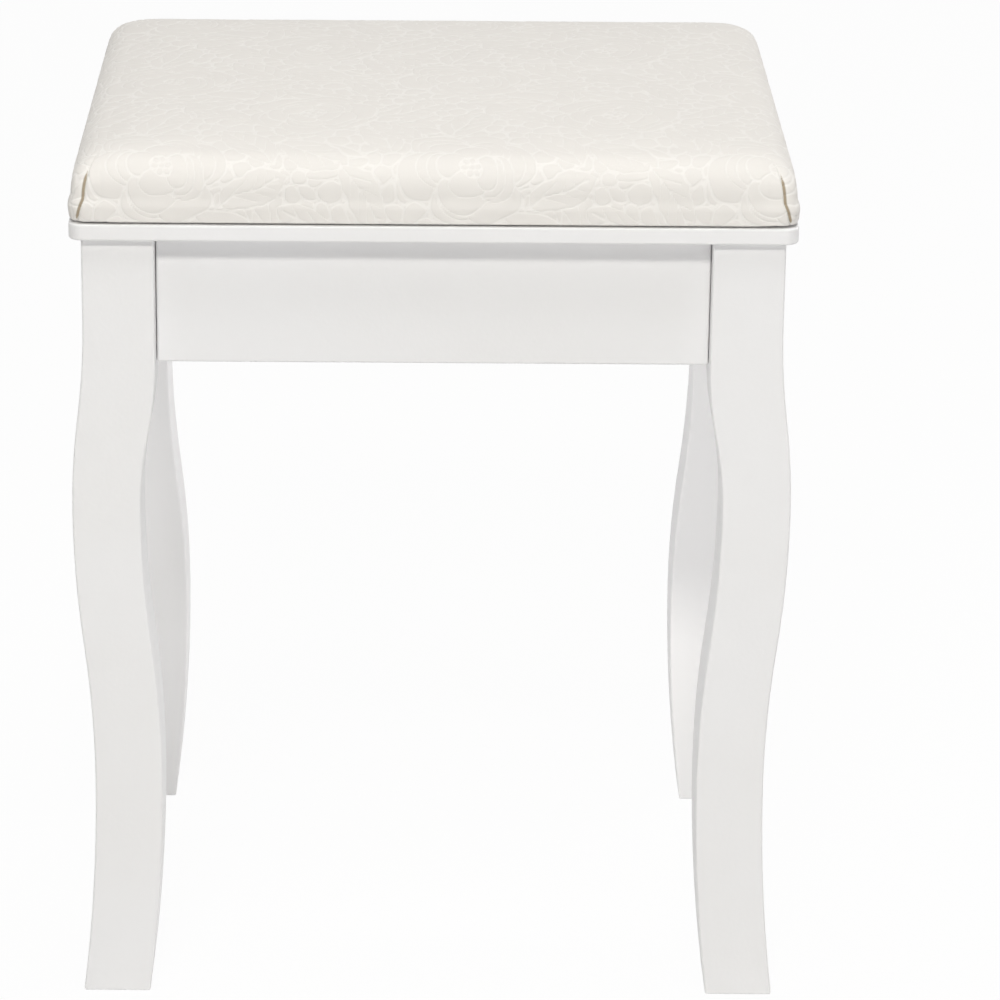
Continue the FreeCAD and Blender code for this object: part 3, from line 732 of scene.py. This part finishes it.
rows = round(TILE[1] / PEBBLE)
columns = round(TILE[0] / PEBBLE)
seeds = [((column + 0.5 * (row % 2) + rng.uniform(-0.3, 0.3)) * TILE[0] / columns,
          (row + rng.uniform(-0.3, 0.3)) * TILE[1] / rows)
         for row in range(rows) for column in range(columns)]
bare = rng.uniform(size=len(seeds)) < BARE_SHARE
near = np.full((3,) + grid_x.shape, 1e3)
owner = np.zeros(grid_x.shape, dtype=int)
for number, seed in enumerate(seeds):
    distance = np.hypot(*tile.local(seed, 0))
    owner = np.where(distance < near[0], number, owner)
    near = np.sort(np.concatenate([near, distance[None]]), axis=0)[:3]
side_gap = (near[1] - near[0]) / 2
corner_gap = (near[2] - near[0]) / 2
tile.lay(np.where(bare[owner], side_gap, np.exp(-corner_gap / CORNER_ROUND) - side_gap))
print("pebbles:", len(seeds), "bare:", int(bare.sum()))

# %% [markdown]
# ## Laying the flowers
#
# Over the bed go the small sprays, then the leaves, then the two roses, which lie on top of
# everything. Each is a place and a turn on the tile, with a size where sizes differ. Because the
# tile repeats, a shape that runs over one side comes in again at the other.

# %% Sprays, leaves and roses
ROSES = [((37, 34), 33, 0.2), ((113, 99), 31, 1.4)]
LEAVES = [((84, 20), 42, 21, 0.35), ((82, 52), 46, 21, 2.2), ((114, 44), 42, 22, -0.5),
          ((38, 84), 44, 22, 1.25), ((10, 108), 42, 20, 0.6), ((68, 96), 40, 20, 2.75),
          ((146, 60), 40, 20, 1.9), ((58, 122), 42, 19, 0.15), ((139, 18), 42, 20, -1.0),
          ((4, 70), 38, 19, 2.4), ((110, 2), 34, 17, 2.7)]
SPRAYS = [((96, 70), 0.9), ((22, 72), 2.5), ((88, 126), 1.7), ((134, 36), 2.9), ((50, 104), 0.4),
          ((78, 0), 2.2)]
BLADE_REACH = 9
BLADE_LENGTH = 14
BLADE_BREADTH = 5.5
BLADE_SPREAD = 0.55
for middle, turn in SPRAYS:
    for blade in (-1, 0, 1):
        angle = turn + blade * BLADE_SPREAD
        tile.oval((middle[0] + BLADE_REACH * math.cos(angle), middle[1] + BLADE_REACH * math.sin(angle)),
                  BLADE_LENGTH, BLADE_BREADTH, angle)
for middle, length, breadth, turn in LEAVES:
    tile.leaf(middle, length, breadth, turn)
for middle, size, turn in ROSES:
    tile.rose(middle, size, turn)
print("roses:", len(ROSES), "leaves:", len(LEAVES), "sprays:", len(SPRAYS))

# %% [markdown]
# ## Unrolling the cloth
#
# At each corner the cloth has more width than the cushion has room for. The upholsterer draws the
# side flat, then wraps the front over it, and the edge of that fold runs down the corner, aslant.
# To lay the pattern as real cloth would carry it, each point is unrolled: how far it lies over the
# roll and down the side, and which of the two flaps it belongs to.

# %% Unroll the cloth
FOLD_HEIGHTS = (0, 4, 12, 28, 36)
FOLD_DEGREES = (37, 34, 27, 25, 24)
TILE_START = (21, 48)


def read_tile(field, across, up):
    """A field of the tile at any places on the cloth, smoothly between its cells."""
    column = across / TILE[0] % 1 * TILE_CELLS[0] - 0.5
    row = up / TILE[1] % 1 * TILE_CELLS[1] - 0.5
    left, low = np.floor(column).astype(int), np.floor(row).astype(int)
    right_share, high_share = column - left, row - low
    left, right = left % TILE_CELLS[0], (left + 1) % TILE_CELLS[0]
    low, high = low % TILE_CELLS[1], (low + 1) % TILE_CELLS[1]
    lower = field[low, left] * (1 - right_share) + field[low, right] * right_share
    upper = field[high, left] * (1 - right_share) + field[high, right] * right_share
    return lower * (1 - high_share) + upper * high_share


points = places(cover)
roll_level = PAD_BOTTOM + SIDE_HEIGHT
past_x, past_y = past_core(points)
past = np.hypot(past_x, past_y)
over = np.where(points[:, 2] > roll_level,
                np.arctan2(past, np.maximum(points[:, 2] - roll_level, 1e-6)) * ROLL,
                math.pi / 2 * ROLL + roll_level - points[:, 2])
over = np.where(past > 0, over, 0)
round_corner = np.arctan2(past_x, past_y)
height = (points[:, 2] - PAD_BOTTOM) / MM
fold_angle = np.radians(np.interp(height, FOLD_HEIGHTS, FOLD_DEGREES))
from_fold = (round_corner - fold_angle) * np.maximum(past, 1 * MM) / MM
on_front = (past_y > 0) & (round_corner < fold_angle)
side_x, side_y = np.sign(points[:, 0]), np.sign(points[:, 1])
along_front = np.minimum(np.abs(points[:, 0]), CORE[0]) + round_corner * past
along_side = np.minimum(np.abs(points[:, 1]), CORE[1]) + (math.pi / 2 - round_corner) * past
flat_x = np.where(on_front, side_x * along_front,
                  np.where(past_x > 0, side_x * (CORE[0] + over), points[:, 0]))
flat_y = np.where(on_front, side_y * (CORE[1] + over),
                  np.where(past_x > 0, side_y * along_side, points[:, 1]))
edge_mm = read_tile(tile.edge, flat_x / MM + TILE_START[0], flat_y / MM + TILE_START[1])
ground_mm = read_tile(tile.outside, flat_x / MM + TILE_START[0], flat_y / MM + TILE_START[1])
print("cloth from", np.round([flat_x.min(), flat_y.min()], 3))
print("to", np.round([flat_x.max(), flat_y.max()], 3))

# %% [markdown]
# ## Folds and relief
#
# The front flap stands a little proud up to its edge. Past the edge lies a crease, and beyond that
# the side's cloth bulges. The pattern's cells stand up from their lines by a fifth of a
# millimetre, with soft shoulders, and the lower edge is a touch ragged, as turned cloth is.

# %% Folds and relief
FLAP_STAND = 0.8
FLAP_WIDTH = 9
BULGE = 0.9
BULGE_AT = 5
CREASE_DEPTH = 0.7
CREASE_WIDTH = 1.1
CREASE_AT = 0.9
FOLD_TOP = 34
CELL_RISE = 0.19
GROUND_RISE = 0.09
LINE_DEPTH = 0.12
SHOULDER = 1.1
NO_CREASE = 9
EDGE_PAST = 14 * MM

at_corner = (past_x > 0) & (past_y > 0)
fold_strength = np.interp(height, [0, 4, 22, FOLD_TOP], [0.5, 1, 1, 0])
beyond = np.maximum(from_fold, 0)
flap = np.clip(1 + from_fold / FLAP_WIDTH, 0, 1) ** 2 * (1 - np.clip(from_fold / 0.5 + 0.5, 0, 1))
bulge = beyond / BULGE_AT * np.exp(1 - beyond / BULGE_AT)
crease = np.where(from_fold > 0, np.exp(-beyond / CREASE_WIDTH), 0)
fold_shape = FLAP_STAND * flap + BULGE * bulge - CREASE_DEPTH * crease
fold_lift = np.where(at_corner, fold_strength * fold_shape, 0)
# Distance from just past each corner's fold, below the fold's top; the fabric finish turns it into a painted
# shade line along the crease.
crease_shade_mm = np.where(at_corner & (height < FOLD_TOP),
                     np.abs(from_fold - CREASE_AT) + 2 * (1 - fold_strength), NO_CREASE)

dome = 1 - np.exp(-np.maximum(edge_mm, 0) / SHOULDER)
relief = dome * np.where(ground_mm < 0, CELL_RISE, GROUND_RISE) - LINE_DEPTH
along_edge = (flat_x + flat_y) / MM
ragged = (0.2 + 0.2 * np.sin(along_edge * 0.21) * np.sin(along_edge * 0.057)
          + 0.12 * np.sin(along_edge * 1.3))
edge_lift = np.where(past > EDGE_PAST, ragged * np.interp(height, [0, 1, 4], [1, 1, 0]), 0)
outward_lift = np.where(skin, relief + fold_lift, 0) * MM
upward_lift = np.where(skin, np.maximum(edge_lift, 0), 0) * MM
move_to(cover, points + point_normals(cover) * outward_lift[:, None]
        + np.array([0, 0, 1]) * upward_lift[:, None])

for name, field in (("petal_edge", edge_mm), ("ground_edge", ground_mm), ("crease_edge", crease_shade_mm)):
    attribute = cover.data.attributes.new(name, "FLOAT", "POINT")
    attribute.data.foreach_set("value", field.astype(np.float32))
print("fold lift up to", round(float(fold_lift.max()), 2), "mm")

# %% [markdown]
# ## The fabric's finish
#
# The raised cells are a matte ivory pile. The pressed lines between them are smoother and a touch paler. The
# bare ground keeps the pile's colour but is smooth, with a fine grain. The distances kept at each point tell
# the finish which is which. One of them paints shade: a thin dark tan line along the fold at each corner,
# standing in for the shadow where the cloth turns in.

# %% Fabric finish
PILE_IVORY = (0.80, 0.775, 0.745, 1)
PILE_SHADE = (0.79, 0.765, 0.736, 1)
PRESSED = (0.83, 0.808, 0.78, 1)
# Dark tan painted shade for the crease along each corner's fold.
CREASE_PAINTED_SHADE = (0.36, 0.30, 0.22, 1)

fabric = Finish("cover_fabric")
edge = fabric.node("ShaderNodeAttribute", {"attribute_name": "petal_edge"}, output="Fac")
ground = fabric.node("ShaderNodeAttribute", {"attribute_name": "ground_edge"}, output="Fac")
from_crease_shade = fabric.node("ShaderNodeAttribute", {"attribute_name": "crease_edge"}, output="Fac")
raised = fabric.step(edge, 0.25, 0.75)
bare_ground = fabric.step(ground, -0.2, 0.3)
pile = fabric.noise(1500.0, 2.0)
grain = fabric.noise(2400.0, 1.0)
shade = fabric.noise(30.0, 3.0)
pile_colour = fabric.blend(fabric.step(shade, 0.3, 0.7), PILE_IVORY, PILE_SHADE)
cloth_colour = fabric.blend(raised, PRESSED, pile_colour)
cover_fabric = fabric.dress(
    # The crease's painted shade line, dark tan, is blended over the cloth's own colour.
    Base_Color=fabric.blend(fabric.step(from_crease_shade, 0.35, 0.95), CREASE_PAINTED_SHADE, cloth_colour),
    Roughness=0.6 + 0.3 * raised * (1 - bare_ground) - 0.1 * (pile - 0.5),
    Normal=fabric.bump(raised + pile * 0.16 + bare_ground * grain * 0.3, 0.00025, 0.5),
    Sheen_Weight=0.12,
    Sheen_Roughness=0.5,
    Specular_IOR_Level=0.3,
)
cover.data.materials.clear()
cover.data.materials.append(cover_fabric)
work_on(cover)
bpy.ops.object.shade_smooth()
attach(cover, "root")
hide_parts("seat_cover")
print("fabric finish nodes:", len(fabric.tree.nodes))

# %% [markdown]
# ## The floor
#
# The picture is a studio shot on white. The floor is pale paper that takes a soft shadow. To the
# camera, and in reflections, nearly all of it is swapped for an even white, so that the shadow
# stays faint and the ground has no edge.

# %% Floor
FLOOR_PAPER = (0.80, 0.795, 0.785, 1)
FLOOR_SIZE = 14
WHITE = (1, 1, 1, 1)
WHITE_SHARE = 0.96
WHITE_RAYS = ("Camera", "Glossy", "Transmission")

nothing_selected()
bpy.ops.mesh.primitive_plane_add(size=FLOOR_SIZE)
floor = bpy.context.object
floor.name = "floor"
paper = Finish("floor_paper")
paper.dress(Base_Color=FLOOR_PAPER, Roughness=0.9)
shown = paper.node("ShaderNodeMixShader", None, {
    0: paper.seen_by(*WHITE_RAYS) * WHITE_SHARE,
    1: Reading(paper, paper.shader.outputs["BSDF"]),
    2: paper.node("ShaderNodeEmission", None, {"Color": WHITE}),
})
paper.feed(paper.tree.nodes["Material Output"].inputs["Surface"], shown)
floor.data.materials.append(paper.material)
print("floor:", FLOOR_SIZE, "m, white to", WHITE_RAYS)

# %% [markdown]
# ## The light
#
# Six soft lamps and a pale sky light the stool: a wide one overhead, a smaller one in front at
# forty degrees, which draws the short shadow under the board and the band of light on the
# cushion's roll, a broad faint one low in front, and one each side behind, which keeps the sides
# and the back from going dark. The sixth is very faint and stands between the front legs, as a
# photographer's white card would, to lift the back legs.

# %% Lamps
def soft_lamp(name, place, width, depth, watts, colour, target=(0, 0, 0.3)):
    """A rectangular lamp that faces a place in the stool."""
    data = bpy.data.lights.new(name, "AREA")
    data.shape = "RECTANGLE"
    data.size = width
    data.size_y = depth
    data.energy = watts
    data.color = colour
    lamp = bpy.data.objects.new(name, data)
    lamp.location = place
    aim = Vector(target) - Vector(place)
    lamp.rotation_euler = aim.to_track_quat("-Z", "Y").to_euler()
    bpy.context.scene.collection.objects.link(lamp)
    return lamp


soft_lamp("overhead_lamp", (0.1, -0.5, 2.5), 1.3, 1.1, 25, (1.0, 0.995, 0.985))
soft_lamp("front_lamp", (-0.25, -2.6, 2.6), 0.8, 0.35, 48, (1.0, 0.985, 0.93))
soft_lamp("low_lamp", (0.5, -4.0, 0.45), 2.6, 0.9, 21, (0.97, 0.98, 1.0))
soft_lamp("left_lamp", (-3.0, 2.0, 1.1), 1.6, 1.2, 14, (1.0, 0.99, 0.975))
soft_lamp("right_lamp", (3.0, 1.6, 1.1), 1.6, 1.2, 32, (1.0, 0.99, 0.975))
card = soft_lamp("white_card", (0.02, -0.09, 0.19), 0.22, 0.28, 0.23, (1.0, 0.99, 0.975), (0.02, 1, 0.19))
card.visible_camera = False
card.visible_glossy = False

# %% [markdown]
# ## The sky
#
# A little light comes from all round, as it does in a white room. The camera and reflections see
# the sky at full white all the same, so that the background is as white as the floor and the
# lacquer has something bright to mirror.

# %% Sky
SKY_LIGHT = 0.15
world = bpy.data.worlds.new("studio")
world.use_nodes = True
bpy.context.scene.world = world
sky = Network(world.node_tree)
background = sky.tree.nodes["Background"]
sky.feed(background.inputs["Color"], WHITE)
sky.feed(background.inputs["Strength"], SKY_LIGHT + (1 - SKY_LIGHT) * sky.seen_by(*WHITE_RAYS))
print("sky nodes:", len(sky.tree.nodes))
